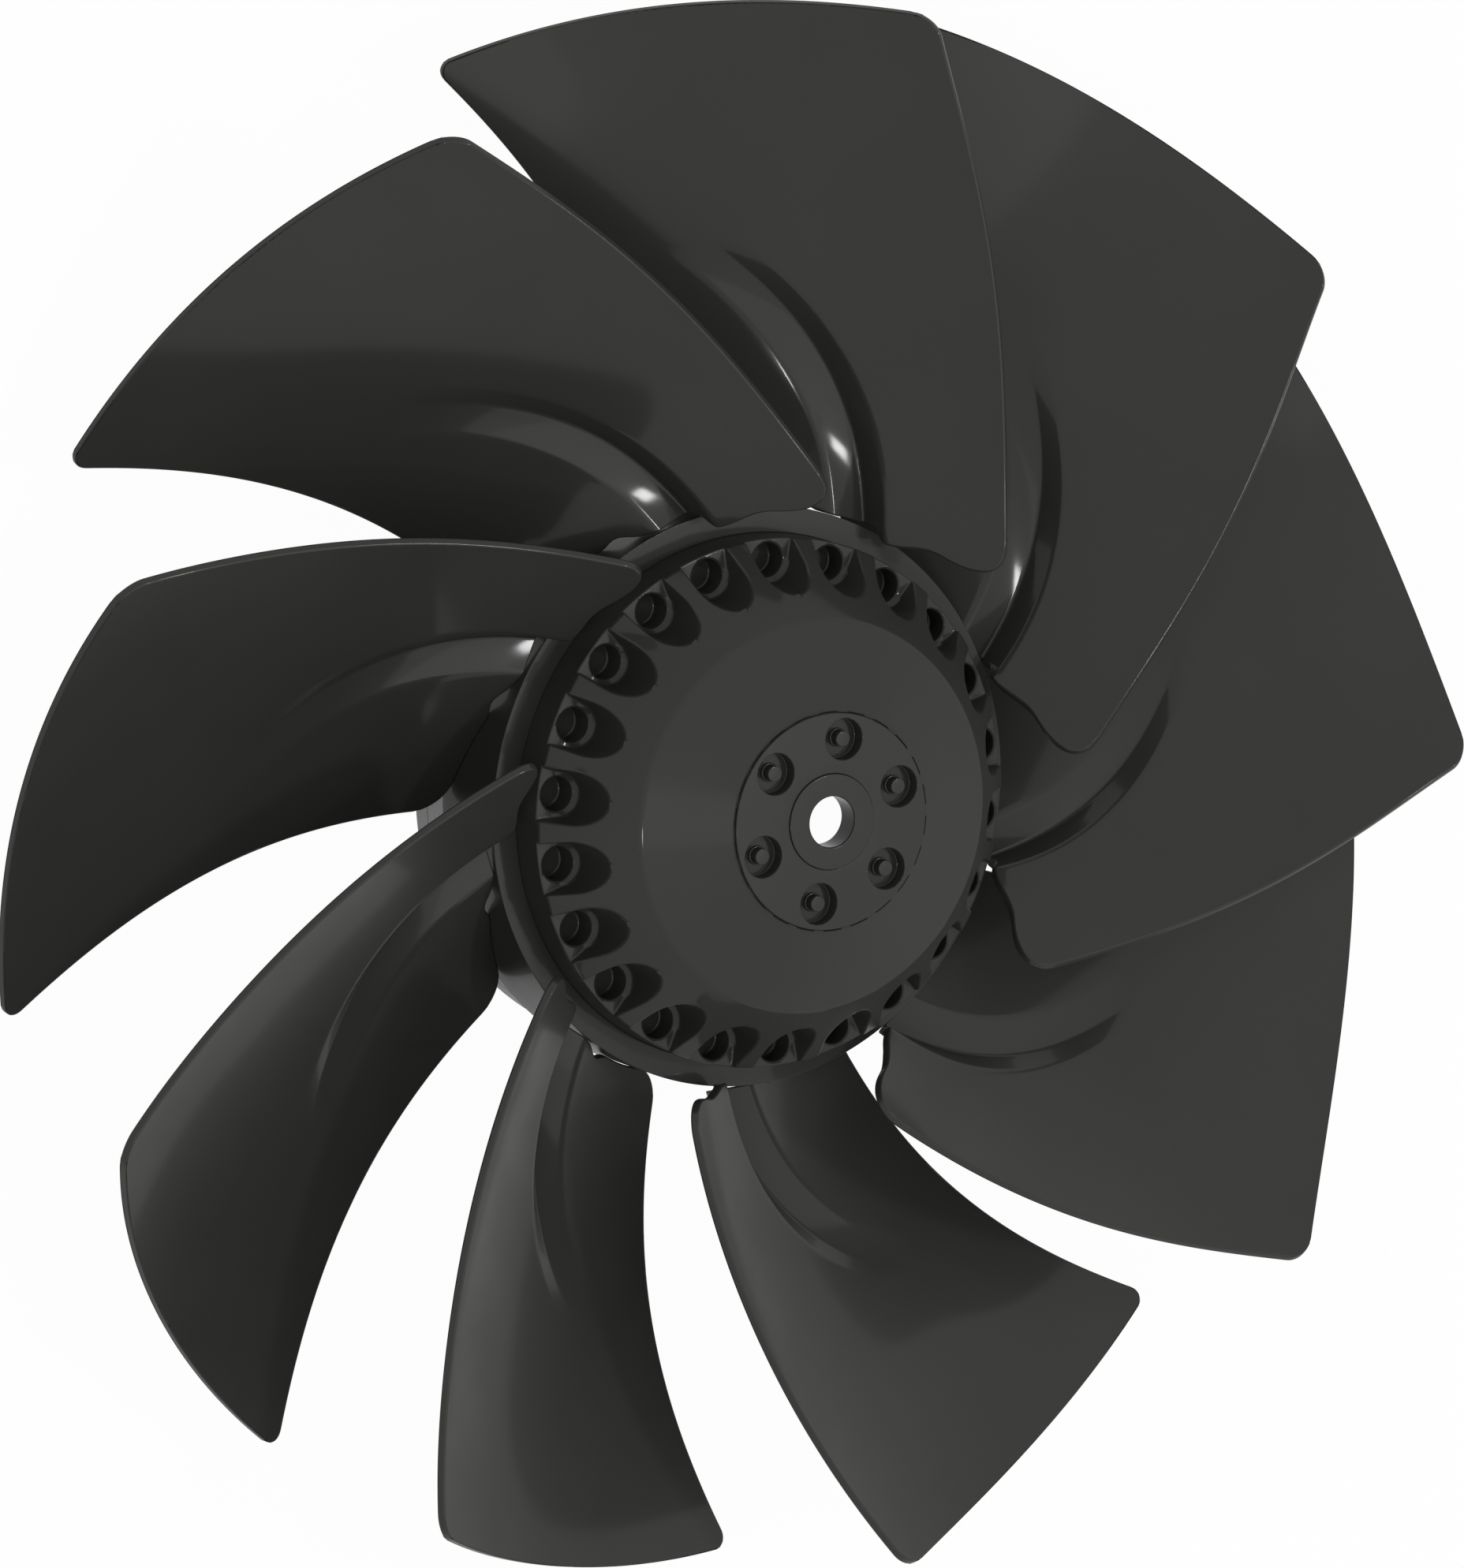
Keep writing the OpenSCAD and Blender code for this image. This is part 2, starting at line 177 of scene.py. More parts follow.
# %% The bead and the inner edge
BEAD_H = 8.8 * MM
BEAD_W = 13.6 * MM
BEAD_LEN = 82 * MM
BEAD_PEAK_SHARE = 0.5845
BEAD_PEAK_AT = 0.08
BEAD_BEND = 1.5
BEAD_SPREAD = 1.06
BEAD_VALLEY_ROOT, BEAD_VALLEY_OUT, BEAD_VALLEY_BY = 0.54, 0.65, 0.8
BEAD_WALL_SHARE = 0.8
BEAD_FADE_POWER = 1.1
BEAD_FOOT_ROUND, BEAD_VALLEY_ROUND = 0.12, 0.2
WELD_GAP = 0.45 * MM
SLIT_FROM, SLIT_TO, SLIT_H = 0.33, 0.46, 2.2 * MM
TUCK_FROM, TUCK_TO, TUCK_IN = 0.615, 0.633, 2.6 * MM
WAVE_TO, WAVE_OUT = 0.807, 1.8 * MM
REAR_CORNER_R = 12 * MM
FRONT_CORNER_R, FRONT_CORNER_LEN = 13 * MM, 20 * MM
TIP_CORNER_R = 6.5 * MM


def bead_middle(r):
    """Middle of the bead as a share of the width: a parabola that bends to the rear."""
    x = held(reach(r), 0, BEAD_LEN / (tip_r - ring_r))
    return BEAD_PEAK_SHARE - BEAD_BEND * (x - BEAD_PEAK_AT) ** 2


def bead_half(r):
    """Half the bead's width as a share of the blade's width, growing outwards."""
    x = held(reach(r), 0, BEAD_LEN / (tip_r - ring_r))
    return BEAD_W / 2 * (1 + BEAD_SPREAD * x) / ROOT_W


def bead_sides(r, off):
    """The bead's two sides; the rear face's is wider, to keep the steep wall's thickness."""
    low, high = bead_middle(r) - bead_half(r), bead_middle(r) + bead_half(r)
    extra = BEAD_WALL_SHARE * SHEET_T / ROOT_W if off < 0 else 0
    return low, high + extra


def bead_out(r):
    """Share of the bead's length, from the ring outwards."""
    return held((r - ring_r) / BEAD_LEN, 0, 1)


def bead_valley(r):
    """Place of the valley across the bead: near its middle at the ring, then to the front."""
    return (BEAD_VALLEY_ROOT
            + (BEAD_VALLEY_OUT - BEAD_VALLEY_ROOT) * ease(0, BEAD_VALLEY_BY, bead_out(r)))


def rounded(x, w):
    """The part of x above 0, with the turn rounded between -w and w by a parabola."""
    return np.where(x <= -w, 0, np.where(x >= w, x, (x + w) ** 2 / (4 * w)))


def bead_depth(r, s, off):
    """Depth: the lower of a gentle slope and a steep wall, rounded, and fading outwards."""
    low, high = bead_sides(r, off)
    t, valley = (s - low) / (high - low), bead_valley(r)
    slope, wall = t / valley, (1 - t) / (1 - valley)
    fade = (1 - bead_out(r)) ** BEAD_FADE_POWER
    lower = slope - rounded(slope - wall, BEAD_VALLEY_ROUND)
    return BEAD_H * fade * rounded(lower, BEAD_FOOT_ROUND)


def corner_rise(c, x):
    """Rise of a round corner of radius c at distance x from its side."""
    x = held(x, 0, c)
    return c - np.sqrt(np.maximum(c * c - (c - x) ** 2, 0))


def inner_edge(s):
    """Radius of the inner edge: the ring, its corners, the slit, the tuck and the wave."""
    root_len = math.hypot(ROOT_W, BLADE_DEPTH)
    slit = np.sin(np.pi * held((s - SLIT_FROM) / (SLIT_TO - SLIT_FROM), 0, 1))
    to_front = (1 - s) * root_len * FRONT_CORNER_R / FRONT_CORNER_LEN
    return (ring_r + WELD_GAP
            + corner_rise(REAR_CORNER_R, s * root_len)
            + corner_rise(FRONT_CORNER_R, to_front)
            + SLIT_H * slit**2
            - TUCK_IN * ease(TUCK_FROM, TUCK_TO, s)
            + (TUCK_IN + WAVE_OUT) * ease(TUCK_TO, WAVE_TO, s))


print(f"the bead is {BEAD_H / MM:.1f} mm deep and {BEAD_LEN / MM:.0f} mm long")

# %% [markdown]
# A mesh of the sheet needs a grid on each side and a rim that joins them. The columns are
# packed where the form turns, at the corners and the bead, and follow the bead outwards.

# %% Helpers for meshes
SHARP_ANGLE = 35


def make_mesh(name, points, faces):
    """An object with these points and faces, smooth but for edges past the sharp angle."""
    mesh = bpy.data.meshes.new(name)
    mesh.from_pydata(np.asarray(points).tolist(), [], [list(map(int, f)) for f in faces])
    mesh.validate()
    mesh.shade_smooth()
    mesh.set_sharp_from_angle(angle=math.radians(SHARP_ANGLE))
    piece = bpy.data.objects.new(name, mesh)
    bpy.context.scene.collection.objects.link(piece)
    return piece


def grid_faces(rows, cols, start=0, flip=False):
    """Quads of a grid of points that are numbered row by row."""
    i, j = np.meshgrid(np.arange(rows - 1), np.arange(cols - 1), indexing="ij")
    a = (i * cols + j).ravel() + start
    quads = np.stack([a, a + 1, a + cols + 1, a + cols], 1)
    return quads[:, ::-1] if flip else quads


def packed(parts):
    """One list of parameters from stretches (from, to, steps), each a smooth run of steps."""
    runs = [np.linspace(low, high, steps, endpoint=False) for low, high, steps in parts]
    return np.append(np.concatenate(runs), parts[-1][1])


# %% The closed sheet of one blade
# The bead's stretches, 0.9 to 3.04, are packed most, and so are the corners at both ends.
COLUMNS = packed([(0, 0.3, 22), (0.3, 0.9, 18), (0.9, 1.12, 8), (1.12, 1.88, 12), (1.88, 2, 4),
                  (2, 2.2, 5), (2.2, 2.8, 6), (2.8, 3.04, 8), (3.04, 3.65, 20), (3.65, 4, 22)])
ROWS = np.concatenate([packed([(0, 0.1, 10), (0.1, 0.9, 44)])[:-1], [0.9, 0.925, 0.945]])
CORNER_STEPS = 12


def column_share(v, r, off):
    """Share of the width for column v: 1 and 3 are the bead's sides, 2 its valley, 4 the end.

    Between these, the share grows evenly with v.
    """
    low, high = bead_sides(r, off)
    deep = low + bead_valley(r) * (high - low)
    return np.select([v <= 1, v <= 2, v <= 3],
                     [v * low, low + (v - 1) * (deep - low), deep + (v - 2) * (high - deep)],
                     high + (v - 3) * (1 - high))


def sheet_side(off):
    """Grid of one side of the sheet, moved off its middle surface along the normal."""
    tip_share = TIP_CORNER_R / (tip_r - ring_r)
    turn = np.radians(np.linspace(0, 90, CORNER_STEPS))
    rows = np.append(ROWS, 1 - tip_share * (1 - np.sin(turn)))
    u, v = np.meshgrid(rows, COLUMNS, indexing="ij")
    edge_r = inner_edge(column_share(v, ring_r, SHEET_T))
    r = edge_r + (tip_r - edge_r) * u
    inset = corner_rise(TIP_CORNER_R, (1 - u) * (tip_r - ring_r)) / width_at(r)
    s = inset + column_share(v, r, off) * (1 - 2 * inset)
    lift = (off - bead_depth(r, s, off))[..., None]
    return plain_sheet(r, s) + front_normal(r, s) * lift


def sheet_mesh(name, turn):
    """Closed sheet, turned by an angle about the shaft: two sides and the rim between."""
    front, back = sheet_side(SHEET_T / 2), sheet_side(-SHEET_T / 2)
    rows, cols = front.shape[:2]
    layer = rows * cols
    points = np.concatenate([front.reshape(-1, 3), back.reshape(-1, 3)])
    c, s = math.cos(turn), math.sin(turn)
    points = points @ np.array([[c, s, 0], [-s, c, 0], [0, 0, 1]])
    index = np.arange(layer).reshape(rows, cols)
    loop = np.concatenate([index[0, :-1], index[:-1, -1], index[-1, :0:-1], index[:0:-1, 0]])
    after = np.roll(loop, -1)
    rim = np.stack([after, loop, loop + layer, after + layer], 1)
    faces = np.concatenate([grid_faces(rows, cols), grid_faces(rows, cols, layer, True), rim])
    return make_mesh(name, points, faces)


def round_edges(piece, width, steps, angle):
    """Rounds the edges that are sharper than an angle in degrees, in a number of steps."""
    bevel = piece.modifiers.new("rounded_edges", "BEVEL")
    bevel.width = width
    bevel.segments = steps
    bevel.limit_method = "ANGLE"
    bevel.angle_limit = math.radians(angle)
    bevel.use_clamp_overlap = False


EDGE_ROUND, EDGE_STEPS, EDGE_ANGLE = 0.5 * MM, 2, 50
blade_skins = []
for i, node in enumerate(BLADES):
    skin = sheet_mesh(f"{node}_sheet", -math.tau / BLADE_COUNT * i)
    round_edges(skin, EDGE_ROUND, EDGE_STEPS, EDGE_ANGLE)
    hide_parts(node)
    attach(skin, "root")
    blade_skins.append(skin)
print("points in a blade's sheet:", len(blade_skins[0].data.vertices))

# %% [markdown]
# The hub is turned and cast work. A turned piece is a profile swept round the shaft. Each
# corner of the profile carries its own rounding, so an edge catches the light as a real one
# does.

# %% Turned pieces
ROUND_STEPS = 4
MERGE_WITHIN = 0.004 * MM
RING_COUNT, BUSH_COUNT = 320, 128


def rounded_profile(corners, closed=True):
    """Points of a profile; a corner (r, z, size) is rounded by a parabola of that size."""
    corners = np.array(corners, float)
    points = []
    for i, (r, z, size) in enumerate(corners):
        here = np.array([r, z])
        if size == 0 or not closed and i in (0, len(corners) - 1):
            points.append(here[None])
            continue
        before, after = corners[i - 1, :2] - here, corners[(i + 1) % len(corners), :2] - here
        before, after = before / np.linalg.norm(before), after / np.linalg.norm(after)
        k = np.linspace(0, 1, ROUND_STEPS + 1)[:, None]
        points.append(here + size * ((1 - k) ** 2 * before + k**2 * after))
    return np.concatenate(points)


def swept(profile, angles):
    """Grid of points: each profile point (r, z) at each angle about the shaft."""
    r, z = profile[:, 0], profile[:, 1]
    return np.stack([np.outer(r, np.cos(angles)), np.outer(r, np.sin(angles)),
                     np.repeat(z[:, None], len(angles), 1)], -1)


def swept_faces(rows, cols, start=0, closed=False):
    """Quads of a swept grid, which closes round the shaft and, if asked, round its profile."""
    index = np.arange(rows * cols).reshape(rows, cols) + start
    after = np.roll(index, -1, axis=1)
    last = rows if closed else rows - 1
    below, below_after = np.roll(index, -1, axis=0), np.roll(after, -1, axis=0)
    return np.stack([index, after, below_after, below], -1)[:last].reshape(-1, 4).tolist()


def welded(name, points, faces):
    """A mesh with touching points merged, empty faces gone and every face turned outwards."""
    piece = make_mesh(name, points, faces)
    work = bmesh.new()
    work.from_mesh(piece.data)
    bmesh.ops.remove_doubles(work, verts=work.verts, dist=MERGE_WITHIN)
    bmesh.ops.recalc_face_normals(work, faces=work.faces)
    loose = [v for v in work.verts if not v.link_faces]
    bmesh.ops.delete(work, geom=loose, context="VERTS")
    open_edges = sum(len(e.link_faces) != 2 for e in work.edges)
    print(f"{name}: {len(work.verts)} points, {open_edges} open edges")
    work.to_mesh(piece.data)
    work.free()
    piece.data.shade_smooth()
    return piece


def even_shading(piece):
    """Shades flat faces flat up to their rounded edges."""
    weighted = piece.modifiers.new("even_shading", "WEIGHTED_NORMAL")
    weighted.keep_sharp = True


def turned(name, corners, count):
    """A closed turned piece from the corners of its section."""
    profile = rounded_profile(corners)
    points = swept(profile, np.arange(count) * math.tau / count)
    piece = welded(name, points.reshape(-1, 3), swept_faces(len(profile), count, 0, True))
    even_shading(piece)
    return piece


def stands_for(skin, node):
    """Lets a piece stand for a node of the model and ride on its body."""
    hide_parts(node)
    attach(skin, "root")
    return skin


SHOULDER_R = half_width("rear_collar")
COLLAR_Z, SPIGOT_Z = top("rear_collar"), bottom("rotor")
CAVITY_R, SPIGOT_R = 79 * MM, 82 * MM
FIT = 0.08 * MM
WELD_FILL = 0.25 * MM
GROOVE_Z, GROOVE = 7.6 * MM, 0.5 * MM

SEAM_R = ring_r + WELD_FILL
ring_skin = turned("blade_ring_turned", [
    (rotor_r + FIT, ring_seat_z, 0.4 * MM), (SEAM_R, ring_seat_z, 0.5 * MM),
    (SEAM_R, lip_z, 0.2 * MM), (rotor_r + FIT, lip_z, 0.2 * MM)], RING_COUNT)
stands_for(ring_skin, "blade_ring")
collar_skin = turned("rear_collar_turned", [
    (CAVITY_R, 0, 0.5 * MM), (SHOULDER_R, 0, 0.6 * MM), (SHOULDER_R, GROOVE_Z, 0.1 * MM),
    (SHOULDER_R - GROOVE, GROOVE_Z, 0), (SHOULDER_R - GROOVE, GROOVE_Z + GROOVE, 0),
    (SHOULDER_R, GROOVE_Z + GROOVE, 0.1 * MM), (SHOULDER_R, COLLAR_Z, 0.3 * MM),
    (SPIGOT_R + FIT, COLLAR_Z, 0.2 * MM), (SPIGOT_R + FIT, SPIGOT_Z, 0.2 * MM),
    (CAVITY_R, SPIGOT_Z, 0.3 * MM)], RING_COUNT)
stands_for(collar_skin, "rear_collar")

DISC_R = half_width("drive_flange")
DISC_SEAT_Z, DISC_FACE_Z = bottom("drive_flange"), top("drive_flange")
BUSH_R, BUSH_FACE_Z = half_width("shaft_bush"), top("shaft_bush")
BUSH_FLANGE_T, BUSH_TAIL = 2 * MM, 2 * MM
BUSH_STEP_Z, BUSH_END_Z = BUSH_FACE_Z - BUSH_FLANGE_T, DISC_SEAT_Z - BUSH_TAIL
TUBE_R, BORE_R = 12 * MM, 8 * MM
bush_skin = turned("shaft_bush_turned", [
    (BORE_R, BUSH_END_Z, 0.8 * MM), (TUBE_R, BUSH_END_Z, 0.3 * MM), (TUBE_R, BUSH_STEP_Z, 0),
    (BUSH_R, BUSH_STEP_Z, 0), (BUSH_R, BUSH_FACE_Z, 0.35 * MM),
    (BORE_R, BUSH_FACE_Z, 0.5 * MM)], BUSH_COUNT)
stands_for(bush_skin, "shaft_bush")

# %% [markdown]
# The ring of pockets repeats 22 times, so one cell is built and turned. It is laid out on rays
# from the middle of its blind hole. Going out along a ray, the surface climbs out of the hole,
# crosses the floor and the cone, rises up the pocket's wall and runs on along the flank to the
# cell's border. Where the pocket is open, the ray ends at the rim.

# %% The rotor casting
POCKETS = 22
FIRST_POCKET = math.radians(11.2)
POCKET_CIRCLE = 77 * MM
POCKET_R, HOLE_R, HOLE_DEPTH = 8.35 * MM, 5.45 * MM, 8 * MM
CONE_START, CONE_RISE, WALL_FOOT = HOLE_R + 0.5 * MM, 1 * MM, 1 * MM
FLOOR_Z = lip_z + 12.5 * MM
RIM_Z = FLOOR_Z + 1.35 * MM
DOME_R, DOME_EDGE_Z = 61.6 * MM, RIM_Z + 25 * MM
DOME_TOP_Z = top("rotor")
FRONT_T = 5 * MM
INSIDE_Z = DISC_SEAT_Z - FRONT_T
INSIDE_R, INSIDE_STEP_Z = 65.45 * MM, 58.7 * MM
HUB_HOLE_R = BUSH_R + 2 * MM
CELL_IN_R = 64 * MM
HALF_CELL = math.pi / POCKETS
HALF_MOUTH = math.asin(POCKET_R / rotor_r)
MOUTH = np.linspace(0, HALF_MOUTH, 7)
SIDE_SHARES = np.array([0.14, 0.42, 0.54, 0.66, 0.78, 0.9, 1])
# Rays turn from the cone to the mouth at NEARLY_0, and FOOT_RAYS of them ease the wall's foot.
NEARLY_0, LEAST_SLOPE, FOOT_RAYS = 0.01, 0.1, 3


def flank_height(r):
    """Height of the flank, a cone, at radius r."""
    return RIM_Z + (DOME_EDGE_Z - RIM_Z) * (rotor_r - r) / (rotor_r - DOME_R)


def on_circle(r, angle):
    """Plan points at these radii and angles."""
    return np.stack([r * np.cos(angle), r * np.sin(angle)], -1)


def mirrored(half):
    """Rows of a half cell, then its mirror image, without the rows on the middle line."""
    return np.concatenate([half, half[-2:0:-1] * [1, -1]])


def cell_border():
    """Border of a cell in plan: mouth, half a rib's end, side, inner arc, and the mirror."""
    side_r = rotor_r - (rotor_r - CELL_IN_R) * SIDE_SHARES
    side_r = np.insert(side_r, 1, POCKET_CIRCLE / math.cos(HALF_CELL))
    return mirrored(np.concatenate([
        on_circle(rotor_r, np.append(MOUTH, HALF_CELL)), on_circle(side_r, HALF_CELL),
        on_circle(CELL_IN_R, MOUTH[::-1])]))


def pocket_cell():
    """Points and faces of one cell: rows go outwards from the hole's floor."""
    border = cell_border() - [POCKET_CIRCLE, 0]
    far = np.hypot(border[:, 0], border[:, 1])
    way = border / far[:, None]
    count = len(far)
    number = np.minimum(np.arange(count), count - np.arange(count))
    mouth_side = number < len(MOUTH) - 1
    on_cone = way[:, 0] < -NEARLY_0
    steep = np.maximum(np.abs(way[:, 1]), LEAST_SLOPE)
    wall = np.where(way[:, 0] > 0, POCKET_R / steep, POCKET_R)
    wall = np.where(number < len(MOUTH), far, np.minimum(wall, far))
    foot_in = WALL_FOOT * np.clip((number - len(MOUTH) + 1) / FOOT_RAYS, 0, 1)
    rows = [(HOLE_R + 0 * far, FLOOR_Z - HOLE_DEPTH), (HOLE_R + 0 * far, FLOOR_Z),
            (CONE_START + 0 * far, FLOOR_Z), (wall - foot_in, FLOOR_Z + CONE_RISE * on_cone)]
    rows += [(wall + (far - wall) * share, None) for share in (0, 0.3, 0.64, 1)]
    grid = []
    for distance, z in rows:
        plan = way * distance[:, None] + [POCKET_CIRCLE, 0]
        height = flank_height(np.hypot(plan[:, 0], plan[:, 1])) if z is None else z + 0 * far
        height = np.where(mouth_side, np.minimum(height, FLOOR_Z), height)
        grid.append(np.column_stack([plan, height]))
    index = np.arange(len(rows) * count).reshape(len(rows), count)
    after = np.roll(index, -1, axis=1)
    quads = np.stack([index[:-1], after[:-1], after[1:], index[1:]], -1)
    keep = np.ones(quads.shape[:2], bool)
    keep[3:] = ~(mouth_side | np.roll(mouth_side, -1))
    faces = quads[keep].tolist() + [index[0].tolist()]
    corner, rib = len(MOUTH) - 1, len(MOUTH)
    points = np.concatenate(grid)
    foot = np.array([points[index[-1, rib]], points[index[-1, -rib]]])
    foot[:, 2] = FLOOR_Z
    for k, side in enumerate((1, -1)):
        faces.append([index[3, side * corner], index[-1, side * corner], index[-1, side * rib],
                      len(points) + k])
    return np.concatenate([points, foot]), faces


def turned_copies(points, faces, count, first):
    """Copies of points and faces, turned evenly about the shaft."""
    a = first + np.arange(count) * math.tau / count
    turn = np.zeros((count, 3, 3))
    turn[:, 0, 0] = turn[:, 1, 1] = np.cos(a)
    turn[:, 0, 1], turn[:, 1, 0], turn[:, 2, 2] = np.sin(a), -np.sin(a), 1
    moved = np.einsum("pi,kij->kpj", points, turn).reshape(-1, 3)
    return moved, [[v + k * len(points) for v in f] for k in range(count) for f in faces]


# Corners of the bell's section with their roundings: over the dome, down into the seat of the
# disc, along the inside to the back, and up the outside to the pockets' floor.
BELL = [
    (CELL_IN_R, flank_height(CELL_IN_R), 0), (DOME_R, DOME_EDGE_Z, 1.1 * MM),
    (DISC_R + FIT, DOME_TOP_Z, 0.1 * MM), (DISC_R + FIT, DISC_SEAT_Z, 0),
    (HUB_HOLE_R, DISC_SEAT_Z, 0), (HUB_HOLE_R, INSIDE_Z, 0.4 * MM),
    (43.28 * MM, INSIDE_Z, 2 * MM), (57.81 * MM, 92.53 * MM, 3 * MM),
    (INSIDE_R, 83.9 * MM, 2 * MM), (INSIDE_R, INSIDE_STEP_Z, 1 * MM),
    (CAVITY_R, INSIDE_STEP_Z, 2 * MM), (CAVITY_R, SPIGOT_Z, 0.3 * MM),
    (SPIGOT_R, SPIGOT_Z, 0.3 * MM), (SPIGOT_R, COLLAR_Z, 0), (SHOULDER_R, COLLAR_Z, 0.4 * MM),
    (SHOULDER_R, ring_seat_z, 0.8 * MM), (rotor_r, ring_seat_z, 0), (rotor_r, FLOOR_Z, 0)]


def rotor_casting():
    """The whole rotor: the cells, and the rest of the bell swept at the same angles."""
    points, faces = turned_copies(*pocket_cell(), POCKETS, FIRST_POCKET)
    half = np.append(MOUTH, HALF_CELL)
    cell = np.concatenate([-half[:0:-1], half[:-1]])
    angles = (FIRST_POCKET + np.arange(POCKETS)[:, None] * 2 * HALF_CELL + cell).ravel()
    profile = rounded_profile(BELL, closed=False)
    bell = swept(profile, angles).reshape(-1, 3)
    faces += swept_faces(len(profile), len(angles), len(points))
    return welded("rotor_casting", np.concatenate([points, bell]), faces)


CAST_ROUND = 0.6 * MM
CAST_STEPS, CAST_ANGLE = 3, 39


def soften(piece, width):
    """Rounds the corners of cast and bored pieces and shades flat faces flat."""
    round_edges(piece, width, CAST_STEPS, CAST_ANGLE)
    even_shading(piece)


rotor_skin = rotor_casting()
soften(rotor_skin, CAST_ROUND)
stands_for(rotor_skin, "rotor")

# %% [markdown]
# The disc repeats six times, with a counterbore in each cell. It is laid out in the same way,
# on rays from the middle of the counterbore, and closed underneath. Each rivet ends in a
# hollow of its own, as a foot and a short post.

# %% The disc and its rivets
RIVETS = 6
FIRST_RIVET = math.radians(22.2)
RIVET_CIRCLE = 25.9 * MM
SHANK_R, FOOT_R, POST_R, HEAD_R = 2.3 * MM, 3 * MM, 2.5 * MM, 4.6 * MM
HEAD_T, FOOT_T, POST_BELOW = 2 * MM, 0.8 * MM, 0.5 * MM
RIVET_COUNT = 32
SINK_R, SINK_Z = 6.6 * MM, DISC_FACE_Z - 4.5 * MM
DISC_ROUND = 0.3 * MM


ARC_STEPS = 6


def disc_border(inner_r):
    """Border of a disc cell in plan: outer arc, side, inner arc, and the mirror."""
    half = math.pi / RIVETS
    arc = np.linspace(0, half, ARC_STEPS + 1)
    side_r = np.linspace(DISC_R, inner_r, 8)[1:-1]
    return mirrored(np.concatenate([on_circle(DISC_R, arc), on_circle(side_r, half),
                                    on_circle(inner_r, arc[::-1])]))


def disc_cell():
    """Points and faces of one cell: up through the sink, over the face, down and back."""
    middle = [RIVET_CIRCLE, 0]
    face_border, seat_border = disc_border(BUSH_R + FIT), disc_border(TUBE_R + FIT)
    way = face_border - middle
    way = way / np.linalg.norm(way, axis=1, keepdims=True)
    low_way = seat_border - middle
    low_way = low_way / np.linalg.norm(low_way, axis=1, keepdims=True)
    rows = [(middle + (SHANK_R + FIT) * low_way, DISC_SEAT_Z),
            (middle + (SHANK_R + FIT) * way, SINK_Z), (middle + SINK_R * way, SINK_Z),
            (middle + SINK_R * way, DISC_FACE_Z), (face_border, DISC_FACE_Z),
            (seat_border, DISC_SEAT_Z)]
    count = len(way)
    points = np.concatenate([np.column_stack([p, z + np.zeros(count)]) for p, z in rows])
    index = np.arange(len(points)).reshape(len(rows), count)
    after = np.roll(index, -1, axis=1)
    quads = np.stack([index[:-1], after[:-1], after[1:], index[1:]], -1)
    number = np.arange(count)
    keep = np.ones(quads.shape[:2], bool)
    keep[4] = (number < ARC_STEPS) | (number >= count - ARC_STEPS)
    under = np.stack([index[-1], after[-1], after[0], index[0]], -1)
    return points, quads[keep].tolist() + under.tolist()


def drive_disc():
    """The disc: its cells, and the stepped seat of the bush swept at the same angles."""
    points, faces = turned_copies(*disc_cell(), RIVETS, FIRST_RIVET)
    step = math.pi / RIVETS / ARC_STEPS
    angles = FIRST_RIVET + np.arange(2 * RIVETS * ARC_STEPS) * step
    profile = np.array([(BUSH_R + FIT, DISC_FACE_Z), (BUSH_R + FIT, BUSH_STEP_Z),
                        (TUBE_R + FIT, BUSH_STEP_Z), (TUBE_R + FIT, DISC_SEAT_Z)])
    seat = swept(profile, angles).reshape(-1, 3)
    faces += swept_faces(len(profile), len(angles), len(points))
    return welded("drive_disc", np.concatenate([points, seat]), faces)


disc_skin = drive_disc()
soften(disc_skin, DISC_ROUND)
stands_for(disc_skin, "drive_flange")


def rivet_set():
    """Six rivets, each turned about its own middle line: head, shank, foot and post."""
    head_z, foot_z, post_z = INSIDE_Z - HEAD_T, SINK_Z + FOOT_T, DISC_FACE_Z - POST_BELOW
    section = rounded_profile([
        (0, head_z, 0), (HEAD_R, head_z, 0.6 * MM), (HEAD_R, INSIDE_Z, 0.2 * MM),
        (SHANK_R, INSIDE_Z, 0), (SHANK_R, SINK_Z, 0), (FOOT_R, SINK_Z, 0),
        (FOOT_R, foot_z, 0.3 * MM), (POST_R, foot_z, 0.2 * MM), (POST_R, post_z, 0.4 * MM),
        (0, post_z, 0)], closed=False)
    one = swept(section, np.arange(RIVET_COUNT) * math.tau / RIVET_COUNT).reshape(-1, 3)
    faces = swept_faces(len(section), RIVET_COUNT)
    return welded("rivet_set", *turned_copies(one + [RIVET_CIRCLE, 0, 0], faces, RIVETS,
                                              FIRST_RIVET))


rivet_skin = rivet_set()
even_shading(rivet_skin)
stands_for(rivet_skin, "flange_rivets")

# %% [markdown]
# The coat is a satin black that was baked on. It is smooth, with a fine orange peel and soft
# clouds of more and less gloss. One group works these out and each material uses it.

# %% The coat as a node group
def new_group(name, inputs, outputs):
    """A shader node group with named sockets: (name, kind, value) and (name, kind)."""
    group = bpy.data.node_groups.new(name, "ShaderNodeTree")
    for socket, kind, value in inputs:
        made = group.interface.new_socket(socket, in_out="INPUT", socket_type=kind)
        made.default_value = value
    for socket, kind in outputs:
        group.interface.new_socket(socket, in_out="OUTPUT", socket_type=kind)
    return group


def add(tree, kind, **settings):
    """A node of that kind, with its settings."""
    node = tree.nodes.new(kind)
    for name, value in settings.items():
        setattr(node, name, value)
    return node


def noise(tree, where, scale, detail):
    """A noise pattern on the given coordinates."""
    node = add(tree, "ShaderNodeTexNoise")
    feed(tree, node, {"Vector": where, "Scale": scale, "Detail": detail})
    return node.outputs["Fac"]


